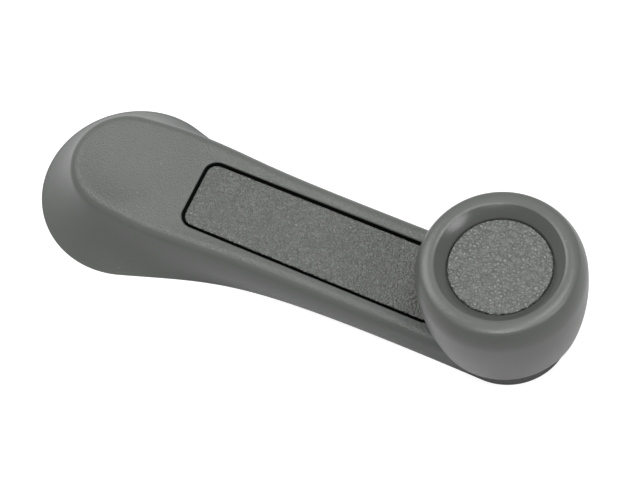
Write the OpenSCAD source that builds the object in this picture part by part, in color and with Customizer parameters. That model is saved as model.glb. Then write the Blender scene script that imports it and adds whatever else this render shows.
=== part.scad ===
// Window crank handle: a moulded arm with a flared hub, a textured trim strip
// snapped into its top face and a free-turning knob riveted to its end.
// Origin on the hub axis at the foot of the hub, +X towards the knob, +Z out
// of the front face.

/* [Arm] */
// Distance from the hub axis to the knob axis
crank_l = 100; // [92:1:112]
// Height of the top face over the hub axis
hub_h = 15.5; // [15:0.5:18]
// Height of the level pad that carries the knob
pad_h = 8.3; // [7.8:0.1:9]
// Length of the level pad on the hub side of the knob axis
pad_run = 12; // [10:0.5:14]
// Radius of the arm's round end at the foot
end_r = 14.5; // [14:0.5:17]
// Radius of the arm's round end at the top face
end_top_r = 13.95; // [13.45:0.05:14]
// Thickness of the side walls
wall_t = 2; // [1.6:0.1:2.4]
// Thickness of the moulding under the trim pocket
floor_t = 1.6; // [1.2:0.1:2]

/* [Hub] */
// Radius of the flared foot
hub_r = 22.7; // [20.2:0.5:25.2]
// Radius of the round top rim
hub_top_r = 13.9; // [13.6:0.1:14.4]
// Offset of the top rim from the hub axis
hub_top_shift = 0.2; // [0:0.1:1.5]
// Lean of the wall at its top as a share of its mean lean, 1 is nearly straight
wall_lean = 0.55; // [0.4:0.05:1]
// Radius of the tube that holds the splined insert
tube_r = 9.6; // [9.2:0.1:10.5]
// Height of the tube's open end over the foot
tube_z = 5; // [4.6:0.1:5.6]
// Depth of the shallow dish in the hub's top face
dish_d = 1; // [0.5:0.1:1.2]
// Radius of the dish
dish_r = 10.4; // [9:0.1:10.6]

/* [Rolled edge] */
// Radius of the edge that rolls over from the wall to the top face
roll_r = 2.7; // [2.2:0.1:2.8]
// Height of the lip beside the strip
lip_h = 0.35; // [0.2:0.05:0.5]
// Width of the slope from the lip down to the strip
lip_w = 1.3; // [1:0.1:1.4]
// How much the edge is drawn in along the arm
rim_waist = 1.5; // [0.5:0.1:1.8]

/* [Ribs] */
// Thickness of the stiffening ribs
rib_t = 1.2; // [0.8:0.1:1.6]
// Distance between the cross ribs
rib_pitch = 11; // [9:0.5:12]
// Number of ribs round the hub tube
hub_ribs = 8; // [6:1:10]
// How far the ribs stay above the foot
rib_z = 0.8; // [0.5:0.1:1.5]

/* [Trim strip] */
// Width of the strip at the hub end
strip_w_hub = 17; // [15:0.5:18]
// Width of the strip at the knob end
strip_w_knob = 17.6; // [15:0.5:18]
// Distance from the hub axis to the strip's near end
strip_x = 19; // [18:0.5:22]
// Gap between the strip's far end and the level pad
strip_stop = 3.5; // [3:0.5:6]
// Corner radius of the strip
strip_r = 2.6; // [1.5:0.1:3.5]
// Thickness of the strip
strip_t = 1.8; // [1.4:0.1:2.2]
// How far the strip's face lies below the arm's
strip_sink = 0.3; // [0:0.05:0.5]
// Width of the dark groove round the strip
groove_w = 0.8; // [0.5:0.1:0.9]
// Length of a snap tab
tab_l = 4; // [3:0.5:5]
// Thickness of a snap tab
tab_t = 1.1; // [0.8:0.1:1.3]
// Catch of a snap tab under the moulding
tab_catch = 0.6; // [0.4:0.1:0.8]

/* [Spline insert] */
// Radius of the metal insert
insert_r = 7.6; // [7.2:0.1:8]
// Length of the insert
insert_l = 12.3; // [11:0.1:12.4]
// Height of the insert's open end over the foot
insert_z = 0.5; // [0.4:0.1:1]
// Radius of the plain pilot bore
pilot_r = 5.2; // [4.8:0.1:5.6]
// Depth of the plain pilot bore
pilot_l = 5; // [4.6:0.2:6]
// Number of spline teeth
teeth = 24; // [18:1:36]
// Height of a spline tooth
tooth_h = 0.45; // [0.3:0.05:0.6]
// Width of the keys that stop the insert turning
key_w = 2.4; // [1.8:0.1:3]
// How far the keys stand out
key_h = 0.8; // [0.5:0.1:1]

/* [Retaining clip] */
// Thickness of the clip
clip_t = 0.9; // [0.7:0.1:1.1]
// Height of the clip over the insert's open end
clip_z = 1.4; // [1:0.1:1.6]
// Width of a clip leg
clip_w = 1.9; // [1.5:0.1:2]
// How far the legs reach past the insert
clip_reach = 1.8; // [1.4:0.1:2.2]
// How far the slots open into the bore, so that the legs can grip a shaft
leg_window = 0.3; // [0.2:0.05:0.4]

/* [Knob] */
// Height of the knob's crest over its foot
knob_h = 26.4; // [25.8:0.2:27.4]
// Radius of the crest ring
knob_crest_r = 16.2; // [15.8:0.1:16.6]
// Radius of the roll inside the crest
crest_in_roll = 2.6; // [2:0.1:3]
// Turn of that roll, down to the crisp edge round the cone
crest_in_turn = 22; // [18:1:26]
// Radius of the roll outside the crest
crest_roll = 4.7; // [4.2:0.1:5.2]
// Slope where that roll meets the tight shoulder
crest_turn = 24; // [20:1:28]
// Radius of the tight shoulder
shoulder_roll = 1.5; // [1:0.1:2]
// Slope where the shoulder meets the bulging side
shoulder_turn = 62; // [58:1:66]
// Radius of the curve from the shoulder to the widest place
side_roll = 12; // [11:0.5:13]
// Radius of the long curve from there down to the foot
wall_roll = 78; // [70:1:100]
// Thickness of the knob's wall at its foot
knob_wall = 2.2; // [1.8:0.1:2.6]
// Thickness of the moulding under the crest
crown_t = 3.5; // [3.2:0.1:4]
// Thickness of the cup's wall round the cap's skirt
cup_wall = 1.8; // [1.4:0.1:2]
// Radius of the bearing tube
bearing_r = 7; // [6.6:0.1:7.6]
// Length of the bearing tube
bearing_l = 16.8; // [15.4:0.2:17.4]
// Thickness of the web that closes the knob under the cap
web_t = 2.6; // [2:0.1:3]
// Number of ribs inside the knob
knob_ribs = 6; // [4:1:8]

/* [Cap] */
// Radius of the textured cap
cap_r = 12.3; // [11.8:0.1:12.6]
// Thickness of the cap
cap_t = 1.6; // [1.2:0.1:1.8]
// Depth of the cap below the knob's crest
cap_sink = 2.4; // [2:0.1:2.7]
// Gap round the cap
cap_gap = 0.25; // [0.2:0.05:0.3]
// Bevel of the cap's edge
cap_bevel = 0.5; // [0.3:0.1:0.7]
// Length of the cap's snap skirt
skirt_l = 4; // [3.4:0.1:4.2]
// Thickness of the snap skirt
skirt_t = 1.2; // [0.9:0.1:1.4]

/* [Axle] */
// Radius of the shouldered part that the knob turns on
axle_r = 4; // [3.6:0.1:4.4]
// Running clearance round the shoulder
run_gap = 0.06; // [0.04:0.01:0.1]
// Radius of the axle's head
head_r = 6.6; // [6:0.1:7.2]
// Thickness of the axle's head
head_t = 1.6; // [1.2:0.1:1.8]
// End play of the knob on the axle
end_play = 0.1; // [0.05:0.05:0.2]
// Radius of the axle's tail in the arm
tail_r = 2.6; // [2.2:0.1:3]
// Thickness of the peened end
peen_t = 1; // [0.8:0.1:1.2]
// Radius of the boss that the axle passes through
boss_r = 7.5; // [7:0.1:8]
// Height of the boss above the pad
boss_h = 0.5; // [0.4:0.1:0.7]
// Thickness of the spacer between boss and knob
spacer_t = 0.5; // [0.4:0.1:0.6]
// Radius of the steel washer under the arm
washer_r = 5.2; // [4.8:0.1:6]
// Thickness of the steel washer
washer_t = 0.8; // [0.6:0.1:1]
// Clearance between parts that are pressed or snapped together
fit = 0.05; // [0.03:0.01:0.1]

/* [Hidden] */

moulding = [0.44, 0.45, 0.44];
soft_trim = [0.42, 0.43, 0.42];
steel = [0.68, 0.69, 0.70];
spring_steel = [0.35, 0.37, 0.42];
nylon = [0.86, 0.85, 0.80];

// Top face: it falls from the hub to the level pad under the knob
pad_x = crank_l - pad_run;
fall = (hub_h - pad_h) / pad_x;
fall_angle = atan(fall);
function top_z(x) = max(pad_h, hub_h - fall * x);

// The lip stands beside the strip: it grows from the hub's round face and
// fades out under the knob
lip_run = 14;
lip_x = strip_x - lip_run / 2;
fade_run = 8;
fade_x = pad_x - fade_run;
function ramp(x, from, run) = min(1, max(0, (x - from) / run));
function lip_z(x) = lip_h * ramp(x, lip_x, lip_run) * (1 - ramp(x, fade_x, fade_run));

// Plan outline: a round hub, a flank that is one Bezier curve, a round end
hub_steps = 18;
flank_steps = 18;
end_steps = 12;
foot_turn = 73;
foot_end_turn = 3;
foot_hub_pull = 26.5;
foot_end_pull = 0.64;
rim_turn = 98;
rim_end_turn = 0;
rim_hub_pull = 33;
rim_end_pull = 0.8;

function lerp(a, b, t) = a + (b - a) * t;
function bezier(p, q, r, s, t) =
    pow(1 - t, 3) * p + 3 * pow(1 - t, 2) * t * q
    + 3 * (1 - t) * t * t * r + pow(t, 3) * s;
function on_circle(x, r, a) = [x + r * cos(a), r * sin(a)];

function flank(p, p_turn, p_pull, s, s_turn, s_pull, waist) =
    let (
        q = p + p_pull * [sin(p_turn), -cos(p_turn)],
        r = s - s_pull * [cos(s_turn), sin(s_turn)]
    )
    [for (i = [1:flank_steps - 1])
        let (t = i / flank_steps)
        bezier(p, q, r, s, t) - [0, waist * 16 * pow(t * (1 - t), 2)]];

function half_outline(x, r, turn, pull, r_end, turn_end, pull_end, waist) =
    concat(
        [for (i = [0:hub_steps]) on_circle(x, r, lerp(180, turn, i / hub_steps))],
        flank(
            on_circle(x, r, turn), turn, pull,
            on_circle(crank_l, r_end, 90 + turn_end), turn_end, pull_end * crank_l, waist
        ),
        [for (i = [0:end_steps])
            on_circle(crank_l, r_end, lerp(90 + turn_end, 0, i / end_steps))]
    );
function foot_outline(inset) = half_outline(
    0, hub_r - inset, foot_turn, foot_hub_pull,
    end_r - inset, foot_end_turn, foot_end_pull, 0
);
function rim_outline(inset) = half_outline(
    hub_top_shift, hub_top_r - inset, rim_turn, rim_hub_pull,
    end_top_r - inset, rim_end_turn, rim_end_pull, rim_waist
);
half_last = hub_steps + flank_steps + end_steps;

// The other half of a ring is the mirror image of the first
function whole_ring(half) = concat(
    half,
    [for (i = [half_last - 1:-1:1]) [half[i][0], -half[i][1], half[i][2]]]
);
ring_n = 2 * half_last;

// Outer skin: from the foot up a wall that curves in like a flared skirt, over
// the rolled edge and down the slope of the lip
wall_steps = 7;
roll_steps = 5;
slope_steps = 2;
rim = rim_outline(0);
crest_line = rim_outline(roll_r);
foot_line = foot_outline(0);
edge_z = [for (p = crest_line) top_z(p[0]) + lip_z(p[0])];
wall_slope = [for (i = [0:half_last])
    90 - wall_lean * atan(norm(foot_line[i] - rim[i]) / edge_z[i])];
wall_top_z = [for (i = [0:half_last]) edge_z[i] - roll_r * (1 - cos(wall_slope[i]))];
function rolled(i, a) = lerp(rim[i], crest_line[i], 1 - sin(a));
function wall_point(i, foot, inset, z) =
    let (
        out = (rim[i] - crest_line[i]) / roll_r,
        top = rolled(i, wall_slope[i]) - inset * out,
        mid = top + out * wall_top_z[i] / 2 / tan(wall_slope[i]),
        s = 1 - z / wall_top_z[i],
        p = lerp(lerp(top, mid, s), lerp(mid, foot, s), s)
    )
    [p[0], p[1], z];
function wall_ring(share) = [
    for (i = [0:half_last]) wall_point(i, foot_line[i], 0, share * wall_top_z[i])
];
function roll_ring(share) = [
    for (i = [0:half_last])
        let (a = wall_slope[i] * (1 - share), p = rolled(i, a))
        [p[0], p[1], edge_z[i] - roll_r * (1 - cos(a))]
];
function slope_ring(share) = [
    for (p = rim_outline(roll_r + lip_w * share))
        [p[0], p[1], top_z(p[0]) + lip_z(p[0]) * (1 - share)]
];
skin_rings = concat(
    [for (i = [0:wall_steps]) wall_ring(i / wall_steps)],
    [for (i = [1:roll_steps]) roll_ring(i / roll_steps)],
    [for (i = [1:slope_steps]) slope_ring(i / slope_steps)]
);

// Inner hollow, open at the foot and closed under the trim pocket
roof_drop = strip_t + floor_t;
function roof_z(x) = top_z(x) - roof_drop;
hollow_foot = foot_outline(wall_t);
hollow_mouth = [for (p = hollow_foot) [p[0], p[1], -1]];
function hollow_ring(share) = [
    for (i = [0:half_last])
        wall_point(i, hollow_foot[i], wall_t, share * roof_z(rim[i][0]))
];
hollow_rings = concat(
    [hollow_mouth],
    [for (i = [0:wall_steps]) hollow_ring(i / wall_steps)]
);

// A skin of rings, closed below and above by strips between mirrored points
function strips(first, i0) = [
    for (i = [i0:half_last - 2])
        [first + i, first + i + 1, first + ring_n - i - 1, first + ring_n - i]
];
function closing(first) = concat(
    [[first, first + 1, first + ring_n - 1]],
    strips(first, 1),
    [[first + half_last - 1, first + half_last, first + half_last + 1]]
);
function turned(faces) = [for (f = faces) [for (i = [len(f) - 1:-1:0]) f[i]]];
module loft(rings) {
    n = len(rings);
    sides = [
        for (k = [0:n - 2], i = [0:ring_n - 1])
            let (
                a = k * ring_n + i,
                b = k * ring_n + (i + 1) % ring_n
            )
            each [[a, b + ring_n, a + ring_n], [a, b, b + ring_n]]
    ];
    polyhedron(
        points = [for (r = rings) each whole_ring(r)],
        faces = concat(turned(closing(0)), sides, closing((n - 1) * ring_n))
    );
}

// Places its children on the sloping top face, with z = 0 in that face
module on_top_face() {
    translate([0, 0, hub_h]) rotate([0, fall_angle, 0]) children();
}

// Tapered outline with round corners, grown on all sides by a margin
strip_end_x = pad_x - strip_stop;
corner_steps = 8;
function strip_half_w(x) =
    lerp(strip_w_hub, strip_w_knob, (x - strip_x) / (strip_end_x - strip_x)) / 2;
function corner(x, y, r, from) = [
    for (i = [0:corner_steps])
        [x, y] + r * [cos(from + 90 * i / corner_steps), sin(from + 90 * i / corner_steps)]
];
module strip_outline(margin) {
    r = strip_r + margin;
    x0 = strip_x + strip_r;
    x1 = strip_end_x - strip_r;
    y0 = strip_half_w(strip_x) - strip_r;
    y1 = strip_half_w(strip_end_x) - strip_r;
    polygon(concat(
        corner(x1, y1, r, 0), corner(x0, y0, r, 90),
        corner(x0, -y0, r, 180), corner(x1, -y1, r, 270)
    ));
}

// Snap tabs sit in the cells between the cross ribs, on both long edges
tab_cells = [1, 4];
rib_x0 = tube_r + rib_pitch * 0.9;
rib_count = floor((crank_l - boss_r - rib_x0) / rib_pitch);
tab_xs = [for (c = tab_cells) rib_x0 + rib_pitch * (c - 0.5)];
tab_y = strip_w_hub / 2 - 2.4;
tab_room = 0.5;
module tab_windows() {
    for (x = tab_xs, side = [-1, 1])
        translate([
            x - tab_l / 2 - tab_room,
            side * (tab_y + tab_catch / 2) - tab_t / 2 - tab_catch / 2 - tab_room,
            -roof_drop - 1
        ])
            cube([tab_l + 2 * tab_room, tab_t + tab_catch + 2 * tab_room, roof_drop + 1]);
}

// Ribs that stay when the hollow is cut: a spine, cross ribs and hub ribs,
// cut back round the clip so that it can be pulled out
module ribs() {
    difference() {
        rib_set();
        translate([0, 0, -1]) cylinder(r = clip_room_r, h = tube_z + 1, $fn = 64);
    }
}
module rib_set() {
    far = crank_l + end_r;
    translate([tube_r - 1, -rib_t / 2, rib_z]) cube([far, rib_t, hub_h]);
    for (i = [0:rib_count])
        translate([rib_x0 + i * rib_pitch - rib_t / 2, -hub_r, rib_z])
            cube([rib_t, 2 * hub_r, hub_h]);
    for (i = [0:hub_ribs - 1])
        rotate([0, 0, (i + 0.5) * 360 / hub_ribs])
            translate([tube_r - 1, -rib_t / 2, rib_z])
                cube([hub_r - tube_r + 1, rib_t, hub_h]);
}

// Clip legs, and the room that the ribs leave round them
leg_in = pilot_r + fit;
leg_out = leg_in + clip_w;
clip_tip_x = insert_r + clip_reach;
clip_room_r = norm([clip_tip_x, leg_out]) + clip_w / 2 + 0.4;

// Insert seat in the hub tube
insert_top = insert_z + insert_l;
module insert_seat() {
    translate([0, 0, -1]) cylinder(r = insert_r + fit, h = insert_top + fit + 1, $fn = 96);
    for (a = [0:90:270])
        rotate([0, 0, a])
            translate([0, -key_w / 2 - fit, -1])
                cube([insert_r + key_h + fit, key_w + 2 * fit, insert_top + fit + 1]);
}

// Axle stack, from the arm's underside up
boss_foot = washer_t + peen_t + rib_z;
boss_top = pad_h + boss_h;
knob_z = boss_top + spacer_t + end_play / 2;
bearing_top = knob_z + bearing_l;
head_z = bearing_top + end_play / 2;

// One moulding: shell, ribs, hub tube, knob boss and trim pocket
module arm() {
    dish_ball_r = (dish_r * dish_r + dish_d * dish_d) / (2 * dish_d);
    color(moulding) difference() {
        union() {
            difference() {
                loft(skin_rings);
                difference() {
                    loft(hollow_rings);
                    ribs();
                }
            }
            translate([0, 0, tube_z])
                cylinder(r = tube_r, h = hub_h - roof_drop / 2 - tube_z, $fn = 96);
            translate([crank_l, 0, boss_foot])
                cylinder(r = boss_r, h = boss_top - boss_foot, $fn = 96);
        }
        on_top_face() {
            translate([0, 0, -strip_t]) linear_extrude(strip_t + 1) strip_outline(groove_w);
            tab_windows();
            translate([hub_top_shift, 0, dish_ball_r - dish_d]) sphere(r = dish_ball_r, $fn = 96);
        }
        insert_seat();
        translate([crank_l, 0, -1]) cylinder(r = tail_r + fit, h = boss_top + 2, $fn = 64);
        translate([crank_l, 0, -1]) cylinder(r = washer_r + fit, h = boss_foot + 1, $fn = 64);
    }
}

// Textured strip with snap tabs that hook under the pocket floor
module trim_strip() {
    hook_z = -roof_drop - fit;
    color(soft_trim) on_top_face() {
        translate([0, 0, -strip_t + fit])
            linear_extrude(strip_t - fit - strip_sink) strip_outline(0);
        for (x = tab_xs, side = [-1, 1])
            translate([x + tab_l / 2, side * tab_y, 0])
                mirror([0, side < 0 ? 1 : 0, 0]) rotate([0, -90, 0])
                    linear_extrude(tab_l)
                        polygon([
                            [-strip_t / 2, -tab_t / 2],
                            [-strip_t / 2, tab_t / 2],
                            [hook_z, tab_t / 2],
                            [hook_z, tab_t / 2 + tab_catch],
                            [hook_z - tab_catch, tab_t / 2],
                            [hook_z - tab_catch, -tab_t / 2]
                        ]);
    }
}

// Metal insert: plain pilot bore, splined bore, keys and slots for the clip
module spline_insert() {
    tooth_tip = pilot_r - tooth_h;
    slot_room = 0.1;
    slot_in = pilot_r - leg_window;
    color(steel) difference() {
        union() {
            translate([0, 0, insert_z]) cylinder(r = insert_r, h = insert_l, $fn = 96);
            for (a = [0:90:270])
                rotate([0, 0, a])
                    translate([0, -key_w / 2, tube_z])
                        cube([insert_r + key_h, key_w, insert_top - tube_z]);
        }
        translate([0, 0, insert_z - 1]) cylinder(r = pilot_r, h = pilot_l + 1, $fn = 96);
        translate([0, 0, insert_z])
            linear_extrude(insert_l + 1)
                polygon([
                    for (i = [0:2 * teeth - 1])
                        (i % 2 == 0 ? pilot_r : tooth_tip)
                        * [cos(180 * i / teeth), sin(180 * i / teeth)]
                ]);
        for (side = [-1, 1])
            translate([
                -insert_r, side > 0 ? slot_in : -slot_in - 2 * clip_w,
                insert_z + clip_z - slot_room
            ])
                cube([2 * insert_r, 2 * clip_w, clip_t + 2 * slot_room]);
    }
}

// Horseshoe spring clip: the bow hugs the insert, the legs lie in its slots
module retaining_clip() {
    room = 0.3;
    bow_in = insert_r + room;
    bow_out = bow_in + clip_w;
    neck_x = -sqrt(bow_in * bow_in - leg_in * leg_in);
    color(spring_steel)
        translate([0, 0, insert_z + clip_z]) linear_extrude(clip_t) difference() {
            union() {
                intersection() {
                    circle(r = bow_out, $fn = 64);
                    translate([-2 * bow_out, -bow_out])
                        square([2 * bow_out + neck_x + clip_w, 2 * bow_out]);
                }
                translate([neck_x, -leg_out]) square([clip_tip_x - neck_x, 2 * leg_out]);
                for (side = [-1, 1])
                    translate([clip_tip_x, side * leg_out]) circle(r = clip_w / 2, $fn = 32);
            }
            intersection() {
                circle(r = bow_in, $fn = 64);
                translate([-2 * bow_in, -bow_in]) square([2 * bow_in + neck_x, 2 * bow_in]);
            }
            translate([neck_x - 0.01, -leg_in]) square([clip_tip_x - neck_x + clip_w, 2 * leg_in]);
        }
}

// Outside of the knob: arcs that meet smoothly, from the crest over the tight
// shoulder and the widest place down to the foot
function arc(p, roll, from, to, steps) = [
    for (i = [1:steps])
        let (a = lerp(from, to, i / steps))
        p + roll * [sin(a) - sin(from), cos(a) - cos(from)]
];
function last(points) = points[len(points) - 1];
crest = [knob_crest_r, knob_h];
crest_arc = arc(crest, crest_roll, 0, crest_turn, 3);
shoulder_arc = arc(last(crest_arc), shoulder_roll, crest_turn, shoulder_turn, 3);
side_arc = arc(last(shoulder_arc), side_roll, shoulder_turn, 90, 4);
knob_r = last(side_arc)[0];
bulge_h = last(side_arc)[1];
foot_round = 0.6;
function wall_turn(h) = asin((bulge_h - h) / wall_roll);
function knob_wall_r(h) = knob_r - wall_roll * (1 - cos(wall_turn(h)));
wall_arc = arc(last(side_arc), wall_roll, 90, 90 + wall_turn(foot_round), 8);
crest_in_arc = arc(crest, crest_in_roll, 0, -crest_in_turn, 3);

// Inside of the knob: a hollow that follows the wall, a cup that holds the
// cap and a web that closes the cup round the bearing tube
cap_top = knob_h - cap_sink;
recess_r = cap_r + cap_gap;
seat_z = cap_top - cap_t;
skirt_r = cap_r - 1;
bead_room = 0.35;
cup_r = skirt_r + bead_room + cup_wall;
web_z = bearing_l - web_t;
hollow_top = knob_h - crown_t;
inner_foot_r = knob_wall_r(foot_round) - knob_wall;
inner_top_r = knob_wall_r(web_z) - knob_wall;
module knob_profile() {
    polygon(concat(
        [[knob_wall_r(foot_round) - foot_round, 0]],
        [for (i = [len(wall_arc) - 1:-1:0]) wall_arc[i]],
        [for (i = [len(side_arc) - 1:-1:0]) side_arc[i]],
        [for (i = [len(shoulder_arc) - 1:-1:0]) shoulder_arc[i]],
        [for (i = [len(crest_arc) - 1:-1:0]) crest_arc[i]],
        [crest],
        crest_in_arc,
        [
            [recess_r, cap_top],
            [recess_r, seat_z],
            [skirt_r + fit, seat_z],
            [skirt_r + fit, seat_z - skirt_l / 2],
            [skirt_r + bead_room, seat_z - skirt_l / 2 - bead_room],
            [skirt_r + bead_room, seat_z - skirt_l],
            [skirt_r + fit, seat_z - skirt_l - bead_room],
            [skirt_r + fit, web_z + web_t],
            [axle_r + run_gap, web_z + web_t],
            [axle_r + run_gap, 0],
            [bearing_r, 0],
            [bearing_r, web_z],
            [cup_r, web_z],
            [cup_r, hollow_top],
            [inner_top_r, hollow_top],
            [inner_top_r, web_z],
            [inner_foot_r, 0]
        ]
    ));
}

// Hollow knob with a bearing tube, a web under the cap and radial ribs
module knob_body() {
    rib_foot = 1.2;
    root = 0.5;
    color(moulding) translate([crank_l, 0, knob_z]) {
        rotate_extrude($fn = 128) knob_profile();
        for (i = [0:knob_ribs - 1])
            rotate([90, 0, (i + 0.5) * 360 / knob_ribs])
                translate([0, 0, -rib_t / 2]) linear_extrude(rib_t)
                    polygon([
                        [bearing_r - root, rib_foot],
                        [inner_foot_r + root, rib_foot],
                        [inner_top_r + root, web_z],
                        [inner_top_r + root, hollow_top + root],
                        [cup_r - root, hollow_top + root],
                        [cup_r - root, web_z + root],
                        [bearing_r - root, web_z + root]
                    ]);
    }
}

// Textured cap with a slotted snap skirt
module knob_cap() {
    slots = 4;
    slot_w = 1.6;
    color(soft_trim) translate([crank_l, 0, knob_z]) difference() {
        rotate_extrude($fn = 128)
            polygon([
                [0, seat_z + fit],
                [skirt_r - skirt_t, seat_z + fit],
                [skirt_r - skirt_t, seat_z - skirt_l + fit],
                [skirt_r, seat_z - skirt_l + fit],
                [skirt_r + bead_room - 2 * fit, seat_z - skirt_l + bead_room],
                [skirt_r + bead_room - 2 * fit, seat_z - skirt_l / 2 - 2 * bead_room],
                [skirt_r, seat_z - skirt_l / 2 - bead_room],
                [skirt_r, seat_z + fit],
                [cap_r, seat_z + fit],
                [cap_r, cap_top - cap_bevel],
                [cap_r - cap_bevel, cap_top],
                [0, cap_top]
            ]);
        for (i = [0:slots - 1])
            rotate([0, 0, i * 360 / slots])
                translate([skirt_r - 2 * skirt_t, -slot_w / 2, seat_z - skirt_l - 1])
                    cube([3 * skirt_t, slot_w, skirt_l + 1]);
    }
}

// Shouldered steel rivet that the knob turns on
module knob_axle() {
    peen_r = tail_r + 1.2;
    edge = 0.4;
    color(steel) translate([crank_l, 0, 0]) rotate_extrude($fn = 96)
        polygon([
            [0, boss_foot - washer_t - peen_t],
            [peen_r - edge, boss_foot - washer_t - peen_t],
            [peen_r, boss_foot - washer_t - peen_t + edge],
            [peen_r, boss_foot - washer_t],
            [tail_r, boss_foot - washer_t],
            [tail_r, boss_top],
            [axle_r, boss_top],
            [axle_r, head_z],
            [head_r, head_z],
            [head_r, head_z + head_t - edge],
            [head_r - edge, head_z + head_t],
            [0, head_z + head_t]
        ]);
}

// Flat steel washer under the peened end
module axle_washer() {
    color(steel) translate([crank_l, 0, boss_foot - washer_t]) difference() {
        cylinder(r = washer_r, h = washer_t, $fn = 64);
        translate([0, 0, -1]) cylinder(r = tail_r + fit, h = washer_t + 2, $fn = 64);
    }
}

// Thin slippery spacer between the boss and the knob
module knob_spacer() {
    color(nylon) translate([crank_l, 0, boss_top]) difference() {
        cylinder(r = boss_r, h = spacer_t, $fn = 64);
        translate([0, 0, -1]) cylinder(r = axle_r + run_gap, h = spacer_t + 2, $fn = 64);
    }
}

arm();
trim_strip();
spline_insert();
retaining_clip();
knob_body();
knob_cap();
knob_axle();
axle_washer();
knob_spacer();
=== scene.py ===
import math

import bmesh
import bpy
import numpy as np
from mathutils import Matrix, Vector
from mathutils.geometry import delaunay_2d_cdt


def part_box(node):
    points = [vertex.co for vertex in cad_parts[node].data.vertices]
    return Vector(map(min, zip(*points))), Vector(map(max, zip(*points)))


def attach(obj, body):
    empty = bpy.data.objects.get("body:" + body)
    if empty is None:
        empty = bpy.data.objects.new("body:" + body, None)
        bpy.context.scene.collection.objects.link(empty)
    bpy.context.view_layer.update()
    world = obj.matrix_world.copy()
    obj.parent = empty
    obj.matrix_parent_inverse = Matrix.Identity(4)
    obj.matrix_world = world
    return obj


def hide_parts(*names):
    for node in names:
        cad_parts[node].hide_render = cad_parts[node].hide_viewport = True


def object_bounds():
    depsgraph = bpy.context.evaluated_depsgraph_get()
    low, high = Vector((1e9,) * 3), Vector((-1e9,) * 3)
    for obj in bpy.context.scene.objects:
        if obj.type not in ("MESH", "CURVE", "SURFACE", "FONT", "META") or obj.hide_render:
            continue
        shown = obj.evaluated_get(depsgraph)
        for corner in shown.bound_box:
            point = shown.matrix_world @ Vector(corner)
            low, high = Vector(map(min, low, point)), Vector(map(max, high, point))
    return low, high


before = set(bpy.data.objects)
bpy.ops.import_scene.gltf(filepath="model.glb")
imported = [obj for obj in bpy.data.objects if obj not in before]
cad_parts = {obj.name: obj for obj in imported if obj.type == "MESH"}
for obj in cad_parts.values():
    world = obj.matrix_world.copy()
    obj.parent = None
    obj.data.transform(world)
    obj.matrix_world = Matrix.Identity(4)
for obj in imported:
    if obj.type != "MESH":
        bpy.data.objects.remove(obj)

cad_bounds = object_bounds()

# Camera. It looks down on the handle from in front and from the hub's right,
# through a long lens, and is rolled a little. Lengths are millimetres here
# and become metres where a mesh or a lamp is made.
MM = 0.001
view_turn = math.radians(35.68)
view_height = math.radians(61.95)
view_roll = math.radians(-12.3)
view_aim = Vector((47.86, 5.1, 0))
view_distance = 1085.5
focal_length = 253.1
film_width = 36
near_clip, far_clip = 10, 20000

back = Vector((
    math.sin(view_turn) * math.cos(view_height),
    -math.cos(view_turn) * math.cos(view_height),
    math.sin(view_height),
))
level_right = Vector((math.cos(view_turn), math.sin(view_turn), 0))
level_up = back.cross(level_right)
film_right = math.cos(view_roll) * level_right + math.sin(view_roll) * level_up
film_up = back.cross(film_right)
lens = bpy.data.cameras.new("camera")
lens.sensor_width = film_width
lens.lens = focal_length
lens.clip_start = near_clip * MM
lens.clip_end = far_clip * MM
camera = bpy.data.objects.new("camera", lens)
camera.matrix_world = (
    Matrix.Translation((view_aim + back * view_distance) * MM)
    @ Matrix((film_right, film_up, back)).transposed().to_4x4()
)
bpy.context.scene.collection.objects.link(camera)
bpy.context.scene.camera = camera
bpy.context.scene.view_settings.view_transform = "Standard"

# Studio. A pale paper floor under the handle, five soft lamps round it and a
# dim even room, which gloss shows white. The camera sees the paper white too,
# also where the lamps fade, with the handle's soft shadow on it.
floor_colour = 0.8
seen_colour = 0.4
paper_glow = 0.85
far_glow = 0.98
glow_near, glow_far = 250, 700
gloss_glow = 0.15
floor_size = 3000
floor_drop = 0.02
room_light = 0.1
lamp_aim = Vector((45, 0, 15))
lamp_distance = 900
lamps = [
    # name, height and turn in degrees, diameter, watts
    ("hub side lamp", 70, 300, 350, 2.45),
    ("knob end lamp", 46, 0, 350, 1.6),
    ("far lamp", 55, 165, 500, 3.2),
    ("low far lamp", 50, 100, 350, 0.4),
    ("overhead lamp", 70, 45, 350, 2.3),
]


def add_node(tree, kind, sockets=None, **settings):
    made = tree.nodes.new("ShaderNode" + kind)
    for name, value in settings.items():
        setattr(made, name, value)
    for name, value in (sockets or {}).items():
        if isinstance(value, bpy.types.NodeSocket):
            tree.links.new(value, made.inputs[name])
        else:
            made.inputs[name].default_value = value
    return made


def smooth_step(tree, value, low, high, start=0.0, end=1.0):
    return add_node(tree, "MapRange", {
        0: value, 1: low, 2: high, 3: start, 4: end,
    }, interpolation_type="SMOOTHSTEP").outputs[0]


def maths(tree, operation, *values, clamp=False):
    made = tree.nodes.new("ShaderNodeMath")
    made.operation, made.use_clamp = operation, clamp
    for i, value in enumerate(values):
        if isinstance(value, bpy.types.NodeSocket):
            tree.links.new(value, made.inputs[i])
        else:
            made.inputs[i].default_value = value
    return made.outputs[0]


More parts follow.
